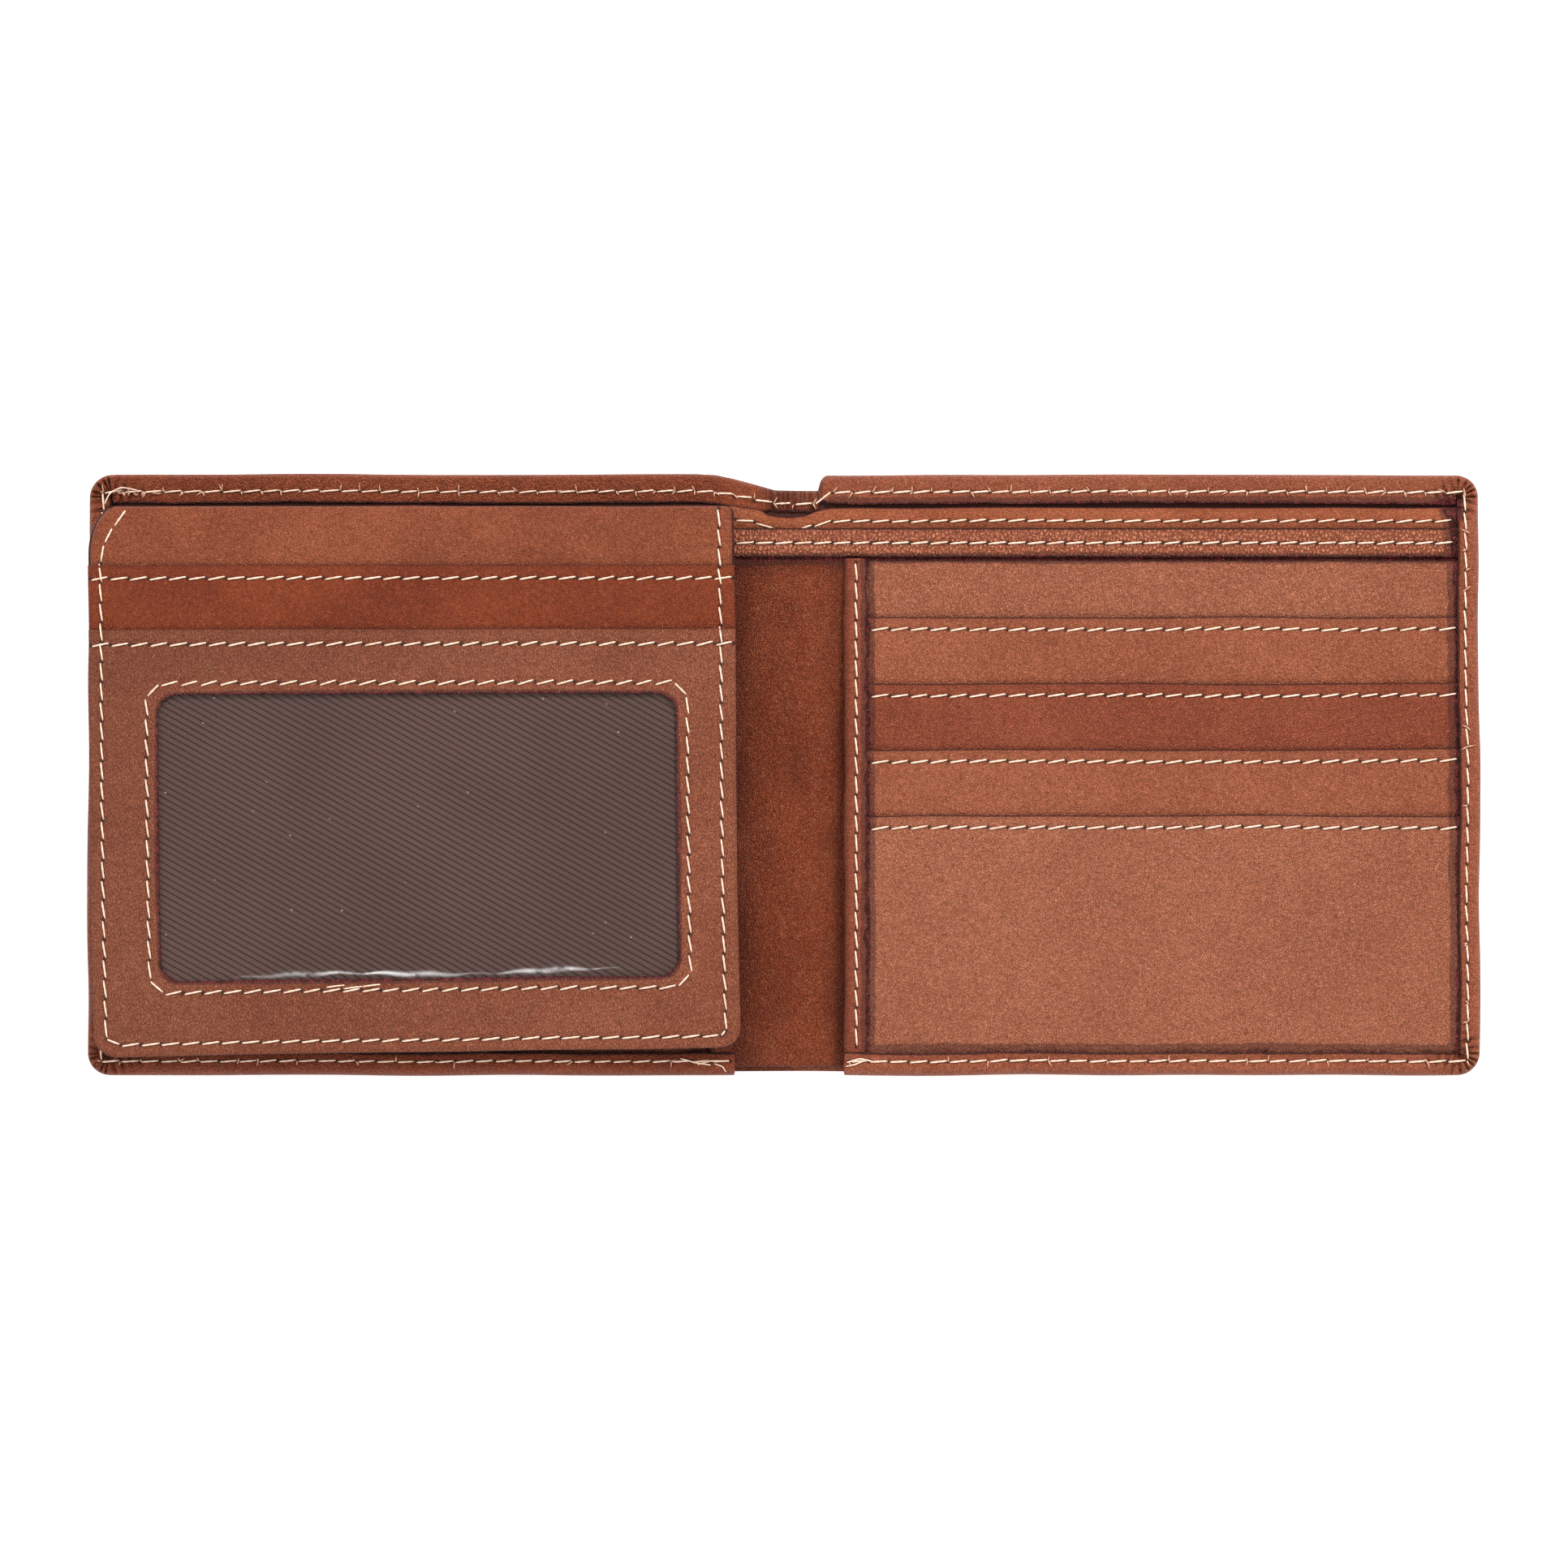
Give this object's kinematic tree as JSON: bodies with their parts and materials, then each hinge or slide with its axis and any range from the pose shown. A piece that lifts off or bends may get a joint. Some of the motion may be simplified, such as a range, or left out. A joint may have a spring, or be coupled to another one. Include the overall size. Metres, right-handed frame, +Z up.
{
  "type": "bifold wallet",
  "caption": "Open bifold leather wallet with stitched hems, stepped card slots, bill compartments and a page-like flap that holds a windowed ID pocket.",
  "frame": {"origin": "on the surface under the wallet, below the middle of its open outline", "axes": "+X towards the right half, along the open wallet's width; +Y towards the open top edge of the bill compartments; +Z up, out of the inside face"},
  "size_m": [0.213, 0.092, 0.0094],
  "materials": {
    "cover_leather": "soft grained brown leather, turned and stitched at its edges",
    "panel_leather": "smooth fine-grained tan leather with dark painted edges",
    "dark_leather": "fine-grained redder brown leather",
    "grained_leather": "coarse pebbled tan leather",
    "spine_leather": "creased brown leather with pale specks",
    "lining_cloth": "thin plain-weave brown lining",
    "twill": "dark brown twill",
    "clear_film": "thin clear flexible film",
    "thread": "cream stitching thread"
  },
  "bodies": {
    "left_half": {"bill_lining_left": "lining_cloth", "divider_sheet_left": "lining_cloth", "divider_trim_left": "panel_leather", "flap_hinge_strip": "panel_leather", "hem_thread_left": "thread", "inner_wall_left": "panel_leather", "inner_wall_trim_left": "grained_leather", "left_binding_thread": "thread", "left_panel_base": "panel_leather", "left_panel_binding": "panel_leather", "left_slot_leaf_1": "panel_leather", "left_slot_leaf_2": "panel_leather", "left_slot_leaf_3": "panel_leather", "left_slot_leaf_4": "panel_leather", "left_slot_tail_1": "lining_cloth", "left_slot_tail_2": "lining_cloth", "left_slot_tail_3": "lining_cloth", "left_slot_thread": "thread", "outer_cover_left": "cover_leather", "trim_thread_left": "thread"},
    "spine": {"bill_lining_spine": "lining_cloth", "divider_sheet_spine": "lining_cloth", "divider_trim_spine": "panel_leather", "inner_wall_spine": "spine_leather", "inner_wall_trim_spine": "grained_leather", "outer_cover_spine": "cover_leather", "trim_thread_spine": "thread"},
    "right_half": {"bill_lining_right": "lining_cloth", "divider_sheet_right": "lining_cloth", "divider_trim_right": "panel_leather", "hem_thread_right": "thread", "inner_wall_right": "panel_leather", "inner_wall_trim_right": "grained_leather", "outer_cover_right": "cover_leather", "right_binding_thread": "thread", "right_panel_base": "panel_leather", "right_panel_binding": "panel_leather", "right_slot_leaf_1": "panel_leather", "right_slot_leaf_2": "panel_leather", "right_slot_leaf_3": "panel_leather", "right_slot_leaf_4": "panel_leather", "right_slot_tail_1": "lining_cloth", "right_slot_tail_2": "lining_cloth", "right_slot_tail_3": "lining_cloth", "right_slot_thread": "thread", "trim_thread_right": "thread"},
    "flap": {"flap_back": "panel_leather", "flap_base": "panel_leather", "flap_edge_thread": "thread", "flap_slot_leaf": "dark_leather", "flap_slot_tail": "lining_cloth", "flap_slot_thread": "thread", "flap_window_leaf": "panel_leather", "id_pocket_backing": "twill", "id_window_film": "clear_film", "window_thread": "thread"}
  },
  "joints": [
    {"name": "spine_fold", "type": "hinge", "parent": "left_half", "child": "spine", "pos_m": [-0.005, 0, 0.00175], "axis": [0, -1, 0], "range_deg": [0, 90], "deforming": ["bill_lining_spine", "divider_sheet_spine", "divider_trim_spine", "inner_wall_spine", "inner_wall_trim_spine", "outer_cover_spine", "trim_thread_spine"]},
    {"name": "right_fold", "type": "hinge", "parent": "spine", "child": "right_half", "pos_m": [0.0079, 0, 0.00175], "axis": [0, -1, 0], "range_deg": [0, 90]},
    {"name": "flap_turn", "type": "hinge", "parent": "left_half", "child": "flap", "pos_m": [-0.00715, 0, 0.00817], "axis": [0, 1, 0], "range_deg": [0, 180], "deforming": ["flap_hinge_strip"]}
  ],
  "couplings": [
    {"joint": "right_fold", "follows": "spine_fold", "ratio": 1}
  ]
}
